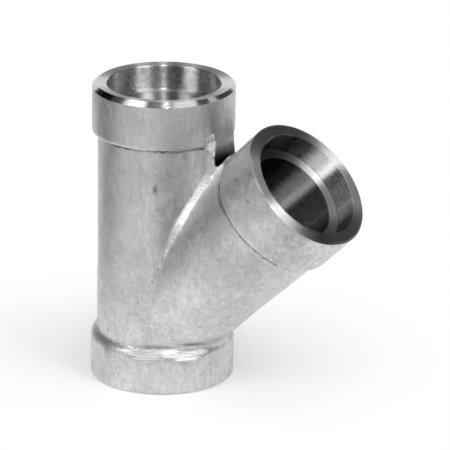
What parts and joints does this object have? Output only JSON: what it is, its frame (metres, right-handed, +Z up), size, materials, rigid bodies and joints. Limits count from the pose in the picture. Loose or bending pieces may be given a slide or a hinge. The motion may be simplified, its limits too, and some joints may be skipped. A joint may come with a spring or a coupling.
{
  "type": "lateral tee",
  "caption": "Forged socket-weld lateral tee: a straight run and a 45 degree branch joined by a filled crotch, each end a thick collar bored as a stepped socket for pipe.",
  "frame": {"origin": "centre of the run's bottom face, on the axis of the run", "axes": "+Z up along the run toward its top socket; the branch leaves in the XZ plane, upward and toward +X, at 45 degrees to the run"},
  "size_m": [0.1963, 0.0974, 0.206],
  "materials": {
    "forged_steel": "satin pickled forging with turned faces and sockets"
  },
  "bodies": {
    "root": {"tee_body": "forged_steel"}
  },
  "joints": []
}
